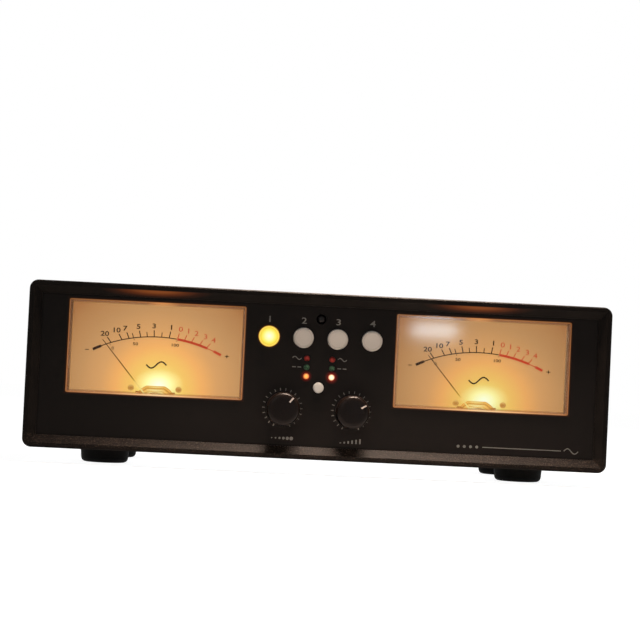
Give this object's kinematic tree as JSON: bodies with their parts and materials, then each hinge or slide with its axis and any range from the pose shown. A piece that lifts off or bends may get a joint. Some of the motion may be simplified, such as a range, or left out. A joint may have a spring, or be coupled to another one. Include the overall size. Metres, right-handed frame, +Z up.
{
  "type": "analog vu meter",
  "caption": "Low desktop audio switcher with lit moving-coil level meters, round selector buttons and control knobs in a bevelled front frame.",
  "frame": {"origin": "on the surface it stands on, under the middle of the whole object's box", "axes": "+X to the right seen from the front, -Y out of the front panel, +Z up"},
  "size_m": [0.298, 0.1694, 0.093],
  "materials": {
    "frame_finish": "sand-textured black",
    "panel_finish": "matt charcoal",
    "cover_finish": "fine-textured black",
    "tray_steel": "zinc-plated sheet",
    "foot_rubber": "matt black",
    "screw_steel": "bright zinc",
    "black_screw": "black oxide",
    "clear_plastic": "clear polished",
    "meter_case_plastic": "off-white",
    "dial_face": "lit cream, printed scale",
    "shade_plastic": "warm translucent",
    "soft_iron": "plain",
    "magnet_alloy": "ground",
    "brass": "stamped",
    "coil_copper": "enamelled winding",
    "pointer_black": "black painted",
    "lamp_glass": "lit bulb",
    "board_green": "solder mask",
    "switch_black": "moulded",
    "led_red": "tinted lens",
    "led_green": "tinted lens",
    "led_amber": "lit lens",
    "sensor_black": "polished dome",
    "button_lit": "lit translucent",
    "button_pale": "translucent beige",
    "button_white": "satin white",
    "knob_black": "satin black with a white line",
    "relay_orange": "moulded"
  },
  "bodies": {
    "case": {"front_frame": "frame_finish", "front_panel": "panel_finish", "chassis_tray": "tray_steel", "top_cover": "cover_finish", "rear_panel": "cover_finish", "foot_front_left": "foot_rubber", "foot_front_right": "foot_rubber", "foot_rear_left": "foot_rubber", "foot_rear_right": "foot_rubber", "foot_screws": "screw_steel", "case_screws": "black_screw", "meter_clips": "screw_steel", "panel_nuts": "screw_steel", "meter_cover_left": "clear_plastic", "meter_case_left": "meter_case_plastic", "dial_plate_left": "dial_face", "lamp_shade_left": "shade_plastic", "yoke_ring_left": "soft_iron", "movement_frame_left": "brass", "meter_cover_right": "clear_plastic", "meter_case_right": "meter_case_plastic", "dial_plate_right": "dial_face", "lamp_shade_right": "shade_plastic", "yoke_ring_right": "soft_iron", "movement_frame_right": "brass", "core_magnets": "magnet_alloy", "hairsprings": "brass", "meter_lamps": "lamp_glass", "dial_screws": "screw_steel", "meter_terminals": "brass", "control_board": "board_green", "board_spacers": "screw_steel", "button_switches": "switch_black", "potentiometers": "screw_steel", "red_leds": "led_red", "green_leds": "led_green", "amber_leds": "led_amber", "remote_sensor": "sensor_black", "sensor_grommet": "foot_rubber", "main_board": "board_green", "relays": "relay_orange", "jack_housings": "switch_black", "jack_barrels": "brass", "power_jack": "switch_black", "power_switch": "switch_black"},
    "movement_left": {"moving_coil_left": "coil_copper", "pointer_left": "pointer_black"},
    "movement_right": {"moving_coil_right": "coil_copper", "pointer_right": "pointer_black"},
    "control_left": {"knob_left": "knob_black", "knob_shaft_left": "screw_steel"},
    "control_right": {"knob_right": "knob_black", "knob_shaft_right": "screw_steel"},
    "selector_1": {"selector_button_1": "button_lit"},
    "selector_2": {"selector_button_2": "button_pale"},
    "selector_3": {"selector_button_3": "button_pale"},
    "selector_4": {"selector_button_4": "button_pale"},
    "small_push": {"small_button": "button_white"},
    "rocker": {"power_rocker": "switch_black"}
  },
  "joints": [
    {"name": "pointer_left_swing", "type": "hinge", "parent": "case", "child": "movement_left", "pos_m": [-0.08375, -0.06495, 0.0315], "axis": [0, 1, 0], "range_deg": [-3, 88], "stiffness_Nm_per_rad": 0.0001},
    {"name": "pointer_right_swing", "type": "hinge", "parent": "case", "child": "movement_right", "pos_m": [0.08375, -0.06495, 0.0315], "axis": [0, 1, 0], "range_deg": [-3, 88], "stiffness_Nm_per_rad": 0.0001},
    {"name": "knob_left_turn", "type": "hinge", "parent": "case", "child": "control_left", "pos_m": [-0.0176, -0.08465, 0.0333], "axis": [0, 1, 0], "range_deg": [-195, 115]},
    {"name": "knob_right_turn", "type": "hinge", "parent": "case", "child": "control_right", "pos_m": [0.0176, -0.08465, 0.0333], "axis": [0, 1, 0], "range_deg": [-216, 94]},
    {"name": "selector_button_1_press", "type": "slide", "parent": "case", "child": "selector_1", "axis": [0, 1, 0], "range_m": [0, 0.0012], "stiffness_N_per_m": 400, "springref_m": -0.001},
    {"name": "selector_button_2_press", "type": "slide", "parent": "case", "child": "selector_2", "axis": [0, 1, 0], "range_m": [0, 0.0012], "stiffness_N_per_m": 400, "springref_m": -0.001},
    {"name": "selector_button_3_press", "type": "slide", "parent": "case", "child": "selector_3", "axis": [0, 1, 0], "range_m": [0, 0.0012], "stiffness_N_per_m": 400, "springref_m": -0.001},
    {"name": "selector_button_4_press", "type": "slide", "parent": "case", "child": "selector_4", "axis": [0, 1, 0], "range_m": [0, 0.0012], "stiffness_N_per_m": 400, "springref_m": -0.001},
    {"name": "small_button_press", "type": "slide", "parent": "case", "child": "small_push", "axis": [0, 1, 0], "range_m": [0, 0.0012], "stiffness_N_per_m": 400, "springref_m": -0.001},
    {"name": "power_rocker_tip", "type": "hinge", "parent": "case", "child": "rocker", "pos_m": [0.105, 0.07215, 0.0505], "axis": [1, 0, 0], "range_deg": [0, 20]}
  ]
}
